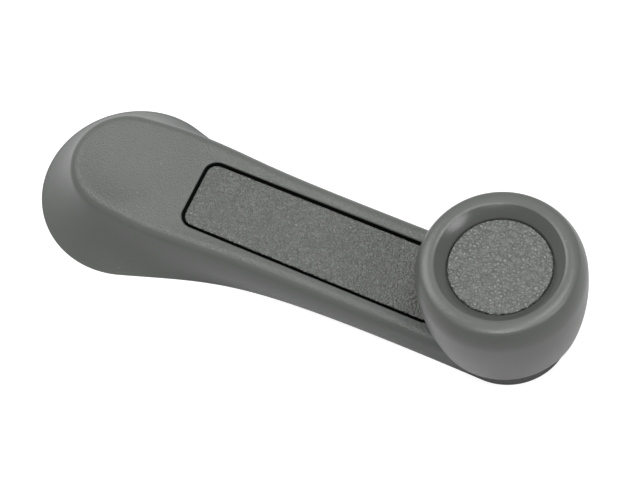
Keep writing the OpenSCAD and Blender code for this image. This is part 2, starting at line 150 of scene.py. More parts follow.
floor_look = bpy.data.materials.new("paper floor")
floor_look.use_nodes = True
tree = floor_look.node_tree
tree.nodes.clear()
path = add_node(tree, "LightPath")
from_camera, glossy = path.outputs["Is Camera Ray"], path.outputs["Is Glossy Ray"]
mirrored = maths(tree, "MAXIMUM", glossy, path.outputs["Is Transmission Ray"])
shade_of_paper = add_node(tree, "Mix", {0: from_camera, 2: floor_colour, 3: seen_colour}).outputs[0]
paper = add_node(tree, "BsdfDiffuse", {"Color": shade_of_paper})
spot = add_node(tree, "TexCoord").outputs["Object"]
away = add_node(tree, "VectorMath", {0: spot}, operation="LENGTH").outputs["Value"]
evened = smooth_step(tree, away, glow_near * MM, glow_far * MM, paper_glow, far_glow)
glow_strength = maths(
    tree, "MULTIPLY_ADD", from_camera, evened, maths(tree, "MULTIPLY", mirrored, gloss_glow)
)
glow = add_node(tree, "Emission", {"Color": (1, 1, 1, 1), "Strength": glow_strength})
lit_paper = add_node(tree, "AddShader")
tree.links.new(paper.outputs[0], lit_paper.inputs[0])
tree.links.new(glow.outputs[0], lit_paper.inputs[1])
add_node(tree, "OutputMaterial", {"Surface": lit_paper.outputs[0]})

half = floor_size / 2
floor_z = cad_bounds[0][2] / MM - floor_drop
corners = [(-half, -half), (half, -half), (half, half), (-half, half)]
floor_mesh = bpy.data.meshes.new("floor")
floor_mesh.from_pydata([(x * MM, y * MM, floor_z * MM) for x, y in corners], [], [(0, 1, 2, 3)])
floor_mesh.materials.append(floor_look)
floor = bpy.data.objects.new("floor", floor_mesh)
bpy.context.scene.collection.objects.link(floor)

room = bpy.data.worlds.new("room")
bpy.context.scene.world = room
room.use_nodes = True
tree = room.node_tree
tree.nodes.clear()
path = add_node(tree, "LightPath")
seen = maths(tree, "MAXIMUM", path.outputs["Is Camera Ray"], path.outputs["Is Glossy Ray"])
seen = maths(tree, "MAXIMUM", seen, path.outputs["Is Transmission Ray"])
strength = add_node(tree, "Mix", {0: seen, 2: room_light, 3: 1.0})
air = add_node(tree, "Background", {"Color": (1, 1, 1, 1), "Strength": strength.outputs[0]})
add_node(tree, "OutputWorld", {"Surface": air.outputs[0]})

for name, height, turn, diameter, watts in lamps:
    light = bpy.data.lights.new(name, "AREA")
    light.shape = "DISK"
    light.size = diameter * MM
    light.energy = watts
    lamp = bpy.data.objects.new(name, light)
    height, turn = math.radians(height), math.radians(turn)
    towards = Vector((
        math.cos(height) * math.cos(turn), math.cos(height) * math.sin(turn), math.sin(height),
    ))
    lamp.location = (lamp_aim + towards * lamp_distance) * MM
    lamp.rotation_euler = towards.to_track_quat("Z", "Y").to_euler()
    bpy.context.scene.collection.objects.link(lamp)

# Arm. One moulding in dark grey satin plastic: a round hub that flares to its
# foot, flanks that run on to the round end under the knob, a rolled edge with
# a finger scoop and the strip's pocket inside it, and a hollow, ribbed back.
knob_low, knob_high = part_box("knob_body")
arm_low, arm_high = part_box("arm")
reach = (knob_low[0] + knob_high[0]) / 2 / MM
hub_r = -arm_low[0] / MM
end_r = arm_high[0] / MM - reach
hub_h = 15.5
pad_h = 8.3
pad_x = reach - 12
fall = (hub_h - pad_h) / pad_x
fall_angle = math.atan(fall)
fall_bend = 0.2
end_top_r = 13.95
hub_top_r = 13.9
hub_top_shift = 0.2
rim_waist = 1.5
wall_lean = 0.55
foot_edge = 0.15
roll_r = 2.7
lip_h = 0.35
lip_w = 1.45
lip_foot, lip_soft = 0.3, 0.003
lip_rise = (12, 26)
lip_fade = (80, 88)
scoop_d = 1.15
scoop_r = 10.6
scoop_low = np.array([-0.5, -2.5])
scoop_steep = math.radians(240)
scoop_soft = 0.01
wall_t = 2
floor_t = 1.6
strip_t = 1.8
hub_steps = 40
flank_steps = 56
end_steps = 30
wall_steps = 16
roll_steps = 12
face_steps = (0.15, 0.35, 0.6, 0.9)
face_spacing = 0.9
quarter = np.radians([0, 22.5, 45, 67.5, 90])


def ease(v, low, high):
    t = np.clip((np.asarray(v, float) - low) / (high - low), 0, 1)
    return t * t * (3 - 2 * t)


def half_outline(x, r, turn, pull, r_end, turn_end, pull_end, waist):
    """Hub arc, flank and end arc on the +Y side; the flank is one Bezier curve."""
    a = np.radians(np.linspace(180, turn, hub_steps + 1))
    hub = np.c_[x + r * np.cos(a), r * np.sin(a)]
    b = np.radians(np.linspace(90 + turn_end, 0, end_steps + 1))
    tip = np.c_[reach + r_end * np.cos(b), r_end * np.sin(b)]
    w = math.radians(turn_end)
    p, s = hub[-1], tip[0]
    p_pull = p + pull * np.array([math.sin(a[-1]), -math.cos(a[-1])])
    s_pull = s - pull_end * reach * np.array([math.cos(w), math.sin(w)])
    t = np.linspace(0, 1, flank_steps + 1)[1:-1, None]
    flank = (1 - t) ** 3 * p + 3 * (1 - t) ** 2 * t * p_pull
    flank += 3 * (1 - t) * t * t * s_pull + t ** 3 * s
    flank[:, 1:] -= waist * 16 * t ** 2 * (1 - t) ** 2
    return np.vstack([hub, flank, tip])


def whole_outline(half_line):
    return np.vstack([half_line, half_line[-2:0:-1] * [1, -1]])


def inward(outline):
    """Unit steps square to the outline, towards its inside."""
    along = np.roll(outline, -1, 0) - np.roll(outline, 1, 0)
    along /= np.linalg.norm(along, axis=1)[:, None]
    return np.c_[along[:, 1], -along[:, 0]]


def top_plane(x):
    """The top face falls from the hub to the level pad under the knob."""
    slope = hub_h - fall * np.asarray(x, float) - pad_h
    return pad_h + (slope + np.sqrt(slope * slope + fall_bend ** 2)) / 2


def lip(x):
    return lip_h * ease(x, *lip_rise) * (1 - ease(x, *lip_fade))


def scoop(x, y):
    """Depth of the finger scoop: deepest off centre, steepest on one side."""
    low_x, low_y = scoop_low
    dx, dy = x - low_x, y - low_y
    r = np.hypot(dx, dy) + 1e-9
    b = ((low_x - hub_top_shift) * dx + low_y * dy) / r
    c = (low_x - hub_top_shift) ** 2 + low_y ** 2 - scoop_r ** 2
    u = r / (-b + np.sqrt(b * b - c))
    towards_lip = (0.5 + 0.5 * np.cos(np.arctan2(dy, dx) - scoop_steep)) ** 1.5
    v = 1 - np.maximum(u, 1e-6) ** (1.15 + 0.85 * towards_lip)
    return scoop_d * (v + np.sqrt(v * v + scoop_soft)) / 2


foot_line = whole_outline(half_outline(
    x=0, r=hub_r, turn=73, pull=26.5,
    r_end=end_r, turn_end=3, pull_end=0.64, waist=0,
))
rim_line = whole_outline(half_outline(
    x=hub_top_shift, r=hub_top_r, turn=98, pull=33,
    r_end=end_top_r, turn_end=0, pull_end=0.8, waist=rim_waist,
))
foot_in, rim_in = inward(foot_line), inward(rim_line)
crest_line = rim_line + rim_in * roll_r


def distance_to(points, line):
    """How far each point lies from a closed line."""
    ends = np.roll(line, -1, 0)
    run = ends - line
    best = np.full(len(points), 1e9)
    for p, d in zip(line, run):
        w = points - p
        t = np.clip((w @ d) / (d @ d), 0, 1)
        best = np.minimum(best, np.hypot(*(w - t[:, None] * d).T))
    return best


def inside(points, line):
    """Which points lie within a closed line."""
    hit = np.zeros(len(points), bool)
    for p, q in zip(line, np.roll(line, -1, 0)):
        crosses = (p[1] > points[:, 1]) != (q[1] > points[:, 1])
        if p[1] != q[1]:
            at = p[0] + (points[:, 1] - p[1]) / (q[1] - p[1]) * (q[0] - p[0])
            hit ^= crosses & (points[:, 0] < at)
    return hit


def between(points, lines):
    """Which points lie within the first line and outside the others."""
    hit = inside(points, lines[0])
    for line in lines[1:]:
        hit &= ~inside(points, line)
    return hit


def face_height(points):
    x, y = points[:, 0], points[:, 1]
    u = distance_to(points, crest_line) / lip_w
    ramp = np.where(u < lip_foot, 1 - u * u / (2 * lip_foot), 1 + lip_foot / 2 - u)
    ramp = (ramp + np.sqrt(ramp * ramp + lip_soft)) / 2
    return top_plane(x) + lip(x) * ramp - scoop(x, y)


# The wall curves out to the foot and runs smoothly into the rolled edge
edge_z = top_plane(crest_line[:, 0]) + lip(crest_line[:, 0])
spread = np.hypot(*(foot_line - rim_line).T)
wall_slope = math.pi / 2 - wall_lean * np.arctan(spread / edge_z)
wall_top = rim_line + rim_in * (roll_r * (1 - np.sin(wall_slope)))[:, None]
wall_top_z = edge_z - roll_r * (1 - np.cos(wall_slope))


def wall_ring(share, inset=0.0, roof_z=wall_top_z):
    foot, start = foot_line + foot_in * inset, wall_top + rim_in * inset
    mid = start - rim_in * (wall_top_z / 2 / np.tan(wall_slope))[:, None]
    z = share * roof_z
    s = (1 - z / wall_top_z)[:, None]
    return np.c_[(1 - s) ** 2 * start + 2 * s * (1 - s) * mid + s * s * foot, z]


def foot_ring(a):
    p = foot_line + foot_in * foot_edge * (1 - math.sin(a))
    return np.c_[p, np.full(len(p), foot_edge * (1 - math.cos(a)))]


def roll_ring(share):
    a = wall_slope * (1 - share)
    p = rim_line + rim_in * (roll_r * (1 - np.sin(a)))[:, None]
    return np.c_[p, edge_z - roll_r * (1 - np.cos(a))]


def face_ring(d):
    p = crest_line + rim_in * d
    return np.c_[p, face_height(p)]


first_share = foot_edge / wall_top_z
skin = [foot_ring(a) for a in np.radians([0, 30, 60])]
for k in range(wall_steps + 1):
    skin.append(wall_ring(first_share + (1 - first_share) * k / wall_steps))
skin += [roll_ring(k / roll_steps) for k in range(1, roll_steps + 1)]
skin += [face_ring(d) for d in face_steps]

# The strip's outline, in the plane of the sloping top face
strip_x = 19
strip_end_x = pad_x - 3.5
strip_r = 2.6
strip_half = (8.5, 8.8)
groove = 0.8
groove_edge = 0.35
corner_steps = 10


def strip_outline(margin, spacing=1.2):
    r = strip_r + margin
    x0, x1 = strip_x + strip_r, strip_end_x - strip_r
    y0, y1 = strip_half[0] - strip_r, strip_half[1] - strip_r
    line = []
    for x, y, start in ((x1, y1, 0), (x0, y0, 90), (x0, -y0, 180), (x1, -y1, 270)):
        for a in np.radians(np.linspace(start, start + 90, corner_steps + 1)):
            line.append((x + r * math.cos(a), y + r * math.sin(a)))
    dense = []
    for p, q in zip(np.array(line), np.roll(line, -1, 0)):
        n = max(1, int(np.hypot(*(q - p)) / spacing))
        dense += [p + (q - p) * k / n for k in range(n)]
    return np.array(dense)


def on_face(line, up):
    """Points drawn flat, laid on the sloping top face and raised square to it."""
    c, s = math.cos(fall_angle), math.sin(fall_angle)
    return np.c_[line[:, 0] * c + up * s, line[:, 1], hub_h - line[:, 0] * s + up * c]


def pocket_ring(a):
    line = strip_outline(groove + groove_edge * (1 - math.sin(a)))
    flat = on_face(line, 0)
    rise = face_height(flat[:, :2]) - flat[:, 2]
    return on_face(line, rise - groove_edge * (1 - math.cos(a)))


pocket = [pocket_ring(a) for a in quarter]
pocket_floor = on_face(strip_outline(groove), np.full(len(pocket[0]), -strip_t))


class Shell:
    """Rings, fills and caps gathered into one mesh, in millimetres."""

    def __init__(self):
        self.verts, self.faces = [], []

    def ring(self, points):
        self.verts += [tuple(p) for p in points]
        return list(range(len(self.verts) - len(points), len(self.verts)))

    def join(self, a, b):
        n = len(a)
        self.faces += [(a[i], a[(i + 1) % n], b[(i + 1) % n], b[i]) for i in range(n)]

    def rings(self, rings):
        ids = [self.ring(r) for r in rings]
        for a, b in zip(ids, ids[1:]):
            self.join(a, b)
        return ids

    def fill(self, rings, spacing=None, height=None):
        """Triangles between rings; with a spacing, over points of their own."""
        flat = [np.array([self.verts[i][:2] for i in ring]) for ring in rings]
        ids, edges = [], []
        for ring in rings:
            n, m = len(ids), len(ring)
            edges += [(n + i, n + (i + 1) % m) for i in range(m)]
            ids += ring
        points = np.vstack(flat)
        if spacing:
            low, high = points.min(0), points.max(0)
            rows = np.arange(low[1], high[1], spacing * 0.87)  # makes even triangles
            grid = np.array([
                (x + (k % 2) * spacing / 2, y)
                for k, y in enumerate(rows) for x in np.arange(low[0], high[0], spacing)
            ])
            grid = grid[between(grid, flat)]
            for line in flat:
                grid = grid[distance_to(grid, line) > spacing / 2]
            ids += self.ring(np.c_[grid, height(grid)])
            points = np.vstack([points, grid])
        made = delaunay_2d_cdt([Vector(p) for p in points], edges, [], 0, 1e-7)
        spots, triangles = np.array([tuple(v) for v in made[0]]), made[2]
        source = [ids[orig[0]] for orig in made[3]]
        wanted = between(spots[np.array(triangles)].mean(axis=1), flat)
        for corners, take in zip(triangles, wanted):
            if take:
                self.faces.append(tuple(source[i] for i in corners))

    def object(self, name):
        mesh = bpy.data.meshes.new(name)
        mesh.from_pydata([tuple(c * MM for c in v) for v in self.verts], [], self.faces)
        bm = bmesh.new()
        bm.from_mesh(mesh)
        bmesh.ops.remove_doubles(bm, verts=bm.verts, dist=1e-4 * MM)
        bmesh.ops.recalc_face_normals(bm, faces=bm.faces)
        bm.to_mesh(mesh)
        bm.free()
        made = bpy.data.objects.new(name, mesh)
        bpy.context.scene.collection.objects.link(made)
        return made


def rectangle(low, high):
    return [(low[0], low[1]), (high[0], low[1]), (high[0], high[1]), (low[0], high[1])]


def prism(name, ends):
    """A solid between two like outlines, each closed by a flat face."""
    shell = Shell()
    first, last = [shell.ring(end) for end in ends]
    shell.join(first, last)
    shell.faces += [tuple(reversed(first)), tuple(last)]
    return shell.object(name)


def block(name, low, high, turn=0, centre=(0, 0)):
    """A box from corner to corner, turned about an upright axis."""
    c, s = math.cos(turn), math.sin(turn)
    flat = [(centre[0] + x * c - y * s, centre[1] + x * s + y * c) for x, y in rectangle(low, high)]
    return prism(name, [[(x, y, z) for x, y in flat] for z in (low[2], high[2])])


def lathe(name, profile, centre, steps=96):
    """A closed outline of (radius, height) points, turned about an upright axis."""
    shell = Shell()
    angles = np.linspace(0, 2 * math.pi, steps, endpoint=False)
    loops = [
        shell.ring([(centre[0] + r * math.cos(a), centre[1] + r * math.sin(a), z) for a in angles])
        for r, z in profile
    ]
    for a, b in zip(loops, loops[1:] + loops[:1]):
        shell.join(a, b)
    return shell.object(name)


def disc(name, r, low, high, centre, steps=96):
    return lathe(name, [(0, low), (r, low), (r, high), (0, high)], centre, steps)


def combine(piece, tools, how):
    """Cuts solids from a piece, or joins them to it, and drops the tools."""
    for tool in tools:
        step = piece.modifiers.new("step", "BOOLEAN")
        step.operation = how
        step.solver = "MANIFOLD"
        step.object = tool
    ready = bpy.context.evaluated_depsgraph_get()
    mesh = bpy.data.meshes.new_from_object(piece.evaluated_get(ready))
    piece.modifiers.clear()
    piece.data = mesh
    for tool in tools:
        bpy.data.objects.remove(tool)


def shade(piece, angle=35):
    mesh = piece.data
    mesh.materials.clear()
    mesh.shade_smooth()
    mesh.set_sharp_from_angle(angle=math.radians(angle))


shell = Shell()
ids = shell.rings(skin)
pocket_ids = shell.rings(pocket + [pocket_floor])
shell.fill([ids[-1], pocket_ids[0]], face_spacing, face_height)
shell.faces.append(tuple(reversed(pocket_ids[-1])))
shell.faces.append(tuple(reversed(ids[0])))
arm = shell.object("crank_arm")

# Hollow underside, with ribs, the insert's tube and the axle's boss left in
rib_t, rib_z, rib_pitch, hub_ribs = 1.2, 0.8, 11, 8
tube_r, tube_z = 9.6, 5
boss_r, boss_foot, boss_top = 7.5, 2.6, 8.8
roof_drop = strip_t + floor_t
roof_steps = 12
clip_room_r = 12.4
insert_r, insert_top = 7.65, 12.85
key_reach, key_half = 8.45, 1.25
tail_r, washer_r = 2.65, 5.25


def hollow_ring(share):
    return wall_ring(share, wall_t, top_plane(rim_line[:, 0] + rim_in[:, 0] * wall_t) - roof_drop)


shell = Shell()
walls = [hollow_ring(k / roof_steps) for k in range(roof_steps + 1)]
ids = shell.rings([walls[0] - [0, 0, 1]] + walls)
shell.faces.append(tuple(reversed(ids[0])))
shell.fill([ids[-1]])
hollow = shell.object("hollow")
rib_x0 = tube_r + 0.9 * rib_pitch
rib_count = int((reach - boss_r - rib_x0) / rib_pitch)
keep = [block("spine", (tube_r - 1, -rib_t / 2, rib_z), (reach + end_r, rib_t / 2, hub_h))]
for i in range(rib_count + 1):
    x = rib_x0 + i * rib_pitch
    keep.append(block("rib", (x - rib_t / 2, -hub_r, rib_z), (x + rib_t / 2, hub_r, hub_h)))
for i in range(hub_ribs):
    turn = math.radians(360 / hub_ribs * (i + 0.5))
    keep.append(block("rib", (tube_r - 1, -rib_t / 2, rib_z), (hub_r, rib_t / 2, hub_h), turn))
combine(hollow, keep, "DIFFERENCE")
combine(hollow, [disc("clip_room", clip_room_r, -0.5, tube_z, (0, 0))], "UNION")
combine(arm, [hollow], "DIFFERENCE")
combine(arm, [
    disc("tube", tube_r, tube_z, hub_h - roof_drop / 2 - 0.2, (0, 0)),
    disc("boss", boss_r, boss_foot, boss_top, (reach, 0)),
], "UNION")
seats = [
    block("key", (0, -key_half, -1), (key_reach, key_half, insert_top), math.radians(a))
    for a in (0, 90, 180, 270)
]
tab_l, tab_t, tab_catch, tab_room, tab_y = 4, 1.1, 0.6, 0.5, 6.1
window_rise = 0.3
tab_xs = [rib_x0 + rib_pitch * (cell - 0.5) for cell in (1, 4)]


def face_block(name, low, high):
    """A box that stands square to the sloping top face."""
    corners = np.array(rectangle(low, high))
    return prism(name, [on_face(corners, np.full(4, up)) for up in (low[2], high[2])])


windows = []
for x in tab_xs:
    for side in (-1, 1):
        y0 = side * (tab_y - tab_t / 2 - tab_room)
        y1 = side * (tab_y + tab_t / 2 + tab_catch + tab_room)
        windows.append(face_block(
            "window",
            (x - tab_l / 2 - tab_room, min(y0, y1), -roof_drop - 1),
            (x + tab_l / 2 + tab_room, max(y0, y1), window_rise - strip_t),
        ))
combine(arm, seats + windows + [
    disc("seat", insert_r, -1, insert_top, (0, 0)),
    disc("axle_hole", tail_r, -1, boss_top + 1, (reach, 0)),
    disc("washer_seat", washer_r, -1, boss_foot, (reach, 0)),
], "DIFFERENCE")
shade(arm)


def in_groove(mesh, outline, top):
    """Which faces lie down in the groove, measured square to the top face."""
    centres = np.array([face.center for face in mesh.polygons]) / MM
    c, s = math.cos(fall_angle), math.sin(fall_angle)
    along = centres[:, 0] * c - (centres[:, 2] - hub_h) * s
    up = centres[:, 0] * s + (centres[:, 2] - hub_h) * c
    return inside(np.c_[along, centres[:, 1]], outline) & (up < top) & (up > -strip_t - 0.05)


def node_group(name, inputs, outputs):
    """A shader group with named sockets, and the two nodes that carry them."""
    group = bpy.data.node_groups.new(name, "ShaderNodeTree")
    new_socket = group.interface.new_socket
    for label, kind, value in inputs:
        socket = new_socket(label, in_out="INPUT", socket_type="NodeSocket" + kind)
        if value is not None:
            socket.default_value = value
    for label, kind in outputs:
        new_socket(label, in_out="OUTPUT", socket_type="NodeSocket" + kind)
    given = group.nodes.new("NodeGroupInput")
    made = group.nodes.new("NodeGroupOutput")
    return group, given.outputs, made.inputs


def new_look(name):
    """A material, its nodes, its surface and the place on the piece."""
    look = bpy.data.materials.new(name)
    look.use_nodes = True
    tree = look.node_tree
    place = add_node(tree, "TexCoord").outputs["Object"]
    return look, tree, tree.nodes["Principled BSDF"], place


def tinted(tree, share, low, high):
    return add_node(tree, "Mix", {0: share, 6: low, 7: high}, data_type="RGBA").outputs[2]


def uneven(tree, tone, roughness, spread):
    return maths(tree, "MULTIPLY_ADD", tone, spread, roughness - spread / 2)


# the fine satin of an eroded mould, and the slow drift of its shade
satin_grain, given, made = node_group(
    "satin grain",
    [("Place", "Vector", None), ("Grain", "Float", 0.0004)],
    [("Height", "Float"), ("Tone", "Float")],
)
drift_scale = 70.0
fineness = maths(satin_grain, "DIVIDE", 1.0, given["Grain"])
fine = add_node(satin_grain, "TexNoise", {
    "Vector": given["Place"], "Scale": fineness, "Detail": 2.0,
})
slow = add_node(satin_grain, "TexNoise", {
    "Vector": given["Place"], "Scale": drift_scale, "Detail": 3.0,
})
satin_grain.links.new(fine.outputs["Fac"], made["Height"])
satin_grain.links.new(slow.outputs["Fac"], made["Tone"])

# specks of lint and dust that cling to the plastic
dust_specks, given, made = node_group(
    "dust specks",
    [
        ("Place", "Vector", None), ("Spacing", "Float", 0.002),
        ("Size", "Float", 0.00014), ("Share", "Float", 0.05),
    ],
    [("Specks", "Float")],
)
cells = add_node(dust_specks, "TexVoronoi", {
    "Vector": given["Place"], "Scale": maths(dust_specks, "DIVIDE", 1.0, given["Spacing"]),
})
distance = maths(dust_specks, "MULTIPLY", cells.outputs["Distance"], given["Spacing"])
near = maths(dust_specks, "LESS_THAN", distance, given["Size"])
pick = add_node(dust_specks, "SeparateColor", {"Color": cells.outputs["Color"]})
chosen = maths(dust_specks, "LESS_THAN", pick.outputs[0], given["Share"])
dust_specks.links.new(maths(dust_specks, "MULTIPLY", near, chosen), made["Specks"])

lint, lint_dullness = (0.32, 0.32, 0.31, 1), 0.3
satin_spread = 0.06
facing_up = (0.86, 0.985)


def moulding_look(name, low, high, roughness, grain, depth, side_depth):
    """Satin plastic: the texture is deepest on faces that look up."""
    look, tree, surface, place = new_look(name)
    satin = add_node(tree, "Group", {"Place": place, "Grain": grain}, node_tree=satin_grain)
    specks = add_node(tree, "Group", {"Place": place}, node_tree=dust_specks)
    clean = tinted(tree, satin.outputs["Tone"], low, high)
    tint = tinted(tree, specks.outputs["Specks"], clean, lint)
    tree.links.new(tint, surface.inputs["Base Color"])
    polish = uneven(tree, satin.outputs["Tone"], roughness, satin_spread)
    dull = maths(
        tree, "MULTIPLY_ADD", specks.outputs["Specks"], lint_dullness, polish, clamp=True
    )
    tree.links.new(dull, surface.inputs["Roughness"])
    normal = add_node(tree, "NewGeometry").outputs["Normal"]
    facing = add_node(tree, "SeparateXYZ", {0: normal}).outputs["Z"]
    strength = smooth_step(tree, facing, *facing_up, side_depth, 1.0)
    height = maths(tree, "MULTIPLY", satin.outputs["Height"], strength)
    bump = add_node(tree, "Bump", {"Height": height, "Distance": depth})
    tree.links.new(bump.outputs[0], surface.inputs["Normal"])
    return look


arm_look = moulding_look(
    "grey satin moulding", low=(0.089, 0.096, 0.090, 1), high=(0.101, 0.108, 0.101, 1),
    roughness=0.33, grain=0.00045, depth=0.00022, side_depth=0.2,
)

# painted shade: the pocket's walls and floor, and the strip's sides below its edge, are coloured
# near-black for the shade down in the groove
painted_groove_shade_look, tree, surface, place = new_look("dark groove")
satin = add_node(tree, "Group", {"Place": place, "Grain": 0.0006}, node_tree=satin_grain)
tint = tinted(
    tree, satin.outputs["Tone"], low=(0.003, 0.003, 0.003, 1), high=(0.006, 0.006, 0.006, 1),
)
tree.links.new(tint, surface.inputs["Base Color"])
surface.inputs["Roughness"].default_value = 0.9
surface.inputs["Specular IOR Level"].default_value = 0.1

hair = 0.03
# faces that lie deeper than this below the top face get the painted groove shade
painted_shade_from = -0.5
arm.data.materials.append(arm_look)
arm.data.materials.append(painted_groove_shade_look)
dark = in_groove(arm.data, strip_outline(groove + hair), painted_shade_from)
arm.data.polygons.foreach_set("material_index", dark.astype(int))
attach(arm, "handle")
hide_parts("arm")

# Spline insert and its clip. The insert is turned steel, pressed into the hub's
# tube; the clip is a blued spring-steel horseshoe that lies in slots across it
# and grips the shaft from behind.
tool_marks, given, made = node_group(
    "tool marks",
    [("Place", "Vector", None), ("Pitch", "Float", 0.0003)],
    [("Height", "Float"), ("Tone", "Float")],
)
level_marks = (0.12, 0.12, 1.0)
patch_scale = 240.0
metal_spread = 0.16
drawn_out = add_node(tool_marks, "VectorMath", {
    0: given["Place"], 1: level_marks,
}, operation="MULTIPLY")
fineness = maths(tool_marks, "DIVIDE", 1.0, given["Pitch"])
marks = add_node(tool_marks, "TexNoise", {
    "Vector": drawn_out.outputs[0], "Scale": fineness, "Detail": 3.0,
})
patches = add_node(tool_marks, "TexNoise", {
    "Vector": given["Place"], "Scale": patch_scale, "Detail": 4.0,
})
tool_marks.links.new(marks.outputs["Fac"], made["Height"])
tool_marks.links.new(patches.outputs["Fac"], made["Tone"])


def metal_look(name, low, high, roughness, pitch, depth):
    """Bare metal with tool marks along its turned or rolled faces."""
    look, tree, surface, place = new_look(name)
    worked = add_node(tree, "Group", {"Place": place, "Pitch": pitch}, node_tree=tool_marks)
    tint = tinted(tree, worked.outputs["Tone"], low, high)
    tree.links.new(tint, surface.inputs["Base Color"])
    polish = uneven(tree, worked.outputs["Tone"], roughness, metal_spread)
    tree.links.new(polish, surface.inputs["Roughness"])
    bump = add_node(tree, "Bump", {"Height": worked.outputs["Height"], "Distance": depth})
    tree.links.new(bump.outputs[0], surface.inputs["Normal"])
    surface.inputs["Metallic"].default_value = 1
    return look


weld_gap = 0.002


def dress(node, look, edge):
    """A finish and softly broken edges for a turned or bent piece."""
    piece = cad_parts[node]
    piece.data.materials.clear()
    piece.data.materials.append(look)
    weld = piece.modifiers.new("weld", "WELD")
    weld.merge_threshold = weld_gap * MM
    broken = piece.modifiers.new("broken edge", "BEVEL")
    broken.width = edge * MM
    broken.segments = 2
    broken.limit_method = "ANGLE"
    broken.angle_limit = math.radians(40)
    broken.harden_normals = True
    piece.data.shade_smooth()


steel_look = metal_look(
    "turned steel", low=(0.50, 0.50, 0.49, 1), high=(0.60, 0.60, 0.60, 1),
    roughness=0.34, pitch=0.0002, depth=0.000006,
)
blued_look = metal_look(
    "blued spring steel", low=(0.11, 0.12, 0.15, 1), high=(0.20, 0.21, 0.24, 1),
    roughness=0.38, pitch=0.0004, depth=0.000004,
)
dress("spline_insert", steel_look, 0.08)
dress("retaining_clip", blued_look, 0.1)

# Trim strip. A soft leather-grained strip snapped into the pocket; its top
# lies a little below the arm's face, its edge is rounded, and four tabs hook
# under the moulding.
strip_edge = 0.35
strip_sink = 0.3
strip_unshaded_side = 0.25
flat_inset = 0.15
fit = 0.05
hook_up = -roof_drop - fit


def strip_ring(a):
    line = strip_outline(-strip_edge * (1 - math.cos(a)))
    up = -strip_sink - strip_edge * (1 - math.sin(a))
    return on_face(line, np.full(len(line), up))


shell = Shell()
line = strip_outline(0)
rings = [on_face(line, np.full(len(line), fit - strip_t))]
rings += [strip_ring(a) for a in quarter]
line = strip_outline(-strip_edge - flat_inset)
rings.append(on_face(line, np.full(len(line), -strip_sink)))
ids = shell.rings(rings)
shell.faces += [tuple(reversed(ids[0])), tuple(ids[-1])]
strip = shell.object("grained_strip")
hook = [
    (-tab_t / 2, -strip_t / 2), (tab_t / 2, -strip_t / 2), (tab_t / 2, hook_up),
    (tab_t / 2 + tab_catch, hook_up), (tab_t / 2, hook_up - tab_catch),
    (-tab_t / 2, hook_up - tab_catch),
]
tabs = []
for x in tab_xs:
    for side in (-1, 1):
        ends = []
        for end in (x - tab_l / 2, x + tab_l / 2):
            flat = np.array([(end, side * (tab_y + y)) for y, up in hook])
            ends.append(on_face(flat, np.array([up for y, up in hook])))
        tabs.append(prism("tab", ends))
combine(strip, tabs, "UNION")
shade(strip)

# round pebbles parted by fine creases, as on leather
leather_pebbles, given, made = node_group(
    "leather pebbles",
    [("Place", "Vector", None), ("Pebble", "Float", 0.0008), ("Crease width", "Float", 0.3)],
    [("Height", "Float"), ("Crease", "Float")],
)
tree = leather_pebbles
wander_scale, fine_scale = 0.8, 2.5
dome_blend, crease_height, fine_height = 0.35, 0.15, 0.2
crease_dullness = 0.15
scale = maths(tree, "DIVIDE", 1.0, given["Pebble"])
wander = add_node(tree, "TexNoise", {
    "Vector": given["Place"], "Scale": maths(tree, "MULTIPLY", scale, wander_scale), "Detail": 1.0,
})
offset = add_node(tree, "VectorMath", {
    0: wander.outputs["Color"], 1: (0.5, 0.5, 0.5),
}, operation="SUBTRACT")
push = add_node(tree, "VectorMath", {
    0: offset.outputs[0], "Scale": given["Pebble"],
}, operation="SCALE")
bent = add_node(tree, "VectorMath", {
    0: given["Place"], 1: push.outputs[0],
}, operation="ADD").outputs[0]
cells = add_node(tree, "TexVoronoi", {
    "Vector": bent, "Scale": scale,
}, feature="DISTANCE_TO_EDGE")
pebble = smooth_step(tree, cells.outputs["Distance"], 0.0, given["Crease width"])
domes = add_node(tree, "TexVoronoi", {
    "Vector": bent, "Scale": scale, "Smoothness": dome_blend,
}, feature="SMOOTH_F1")
fine = add_node(tree, "TexNoise", {
    "Vector": given["Place"], "Scale": maths(tree, "MULTIPLY", scale, fine_scale), "Detail": 1.0,
})
height = maths(tree, "MULTIPLY", pebble, crease_height)
height = maths(tree, "MULTIPLY_ADD", domes.outputs["Distance"], -1.0, height)
height = maths(tree, "MULTIPLY_ADD", fine.outputs["Fac"], fine_height, height)
tree.links.new(height, made["Height"])
tree.links.new(maths(tree, "SUBTRACT", 1.0, pebble), made["Crease"])


def leather_look(name, skin, painted_crease_shade, roughness, pebble, crease_width, depth):
    """Grained plastic, duller down in its creases, and darker there with painted shade."""
    look, tree, surface, place = new_look(name)
    leather = add_node(tree, "Group", {
        "Place": place, "Pebble": pebble, "Crease width": crease_width,
    }, node_tree=leather_pebbles)
    # the creases take a darker colour: painted shade
    tint = tinted(tree, leather.outputs["Crease"], skin, painted_crease_shade)
    tree.links.new(tint, surface.inputs["Base Color"])
    dull = maths(tree, "MULTIPLY_ADD", leather.outputs["Crease"], crease_dullness, roughness)
    tree.links.new(dull, surface.inputs["Roughness"])
    bump = add_node(tree, "Bump", {"Height": leather.outputs["Height"], "Distance": depth})
    tree.links.new(bump.outputs[0], surface.inputs["Normal"])
    return look


strip_look = leather_look(
    "fine leather grain", skin=(0.172, 0.179, 0.169, 1), painted_crease_shade=(0.108, 0.113, 0.107, 1),
    roughness=0.19, pebble=0.00066, crease_width=0.3, depth=0.00046,
)
strip.data.materials.append(strip_look)
strip.data.materials.append(painted_groove_shade_look)
# the strip's sides below its rounded edge take the painted groove shade
dark = in_groove(strip.data, strip_outline(hair), -strip_sink - strip_unshaded_side)
strip.data.polygons.foreach_set("material_index", dark.astype(int))
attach(strip, "handle")
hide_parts("trim_strip")

